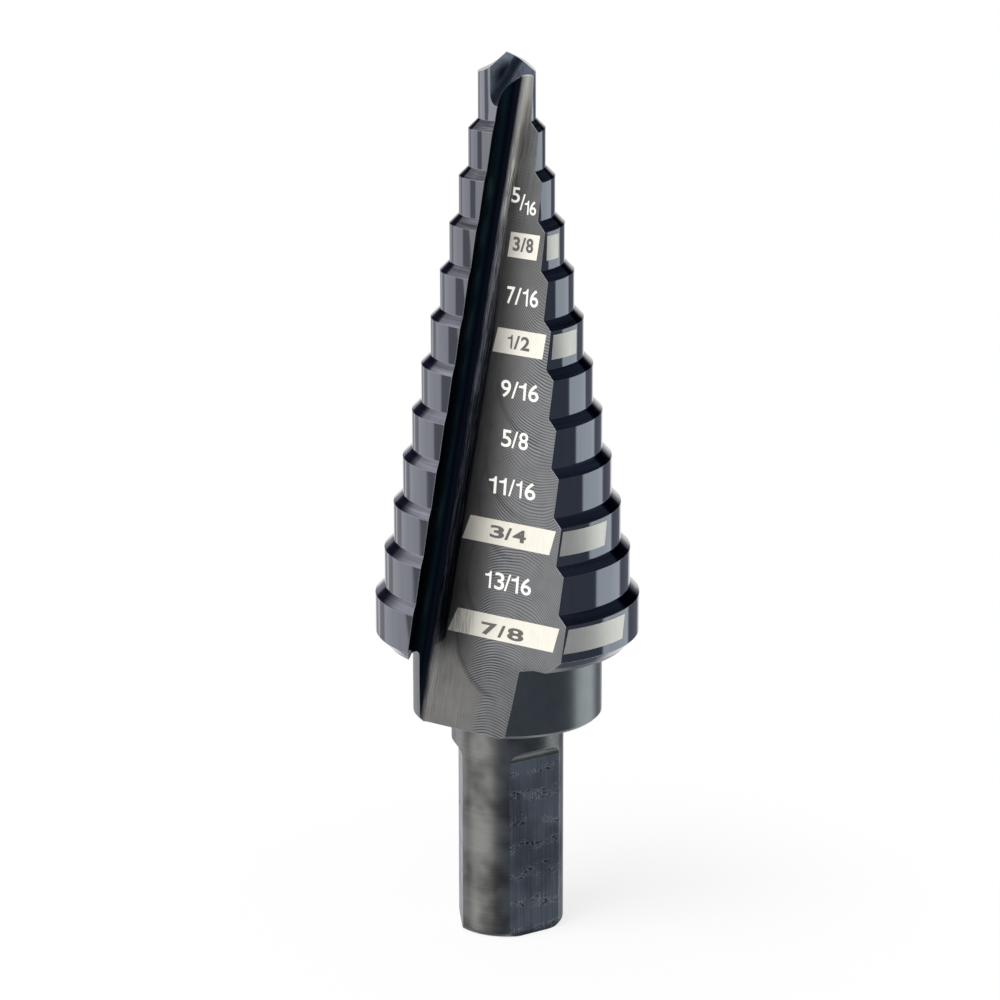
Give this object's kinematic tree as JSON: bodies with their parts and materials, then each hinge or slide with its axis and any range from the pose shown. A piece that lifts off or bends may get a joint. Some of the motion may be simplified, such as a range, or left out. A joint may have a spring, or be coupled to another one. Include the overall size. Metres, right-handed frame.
{
  "type": "step drill",
  "caption": "Step drill bit with a split point, stepped lands between straight flutes, a plain collar and a round shank with flats; it drills and widens holes in sheet metal.",
  "frame": {"origin": "centre of the shank's flat end face, on the drill's axis", "axes": "+Z along the axis from the shank's end to the point; +X and +Y across the drill, with the first chuck flat's normal 34.4 degrees from -Y towards +X, and one flute open towards -Y"},
  "size_m": [0.0222, 0.0204, 0.0752],
  "materials": {
    "steel": "ground and brushed high-speed steel with a dark oxide coat, satin"
  },
  "bodies": {
    "root": {"step_drill": "steel"}
  },
  "joints": []
}
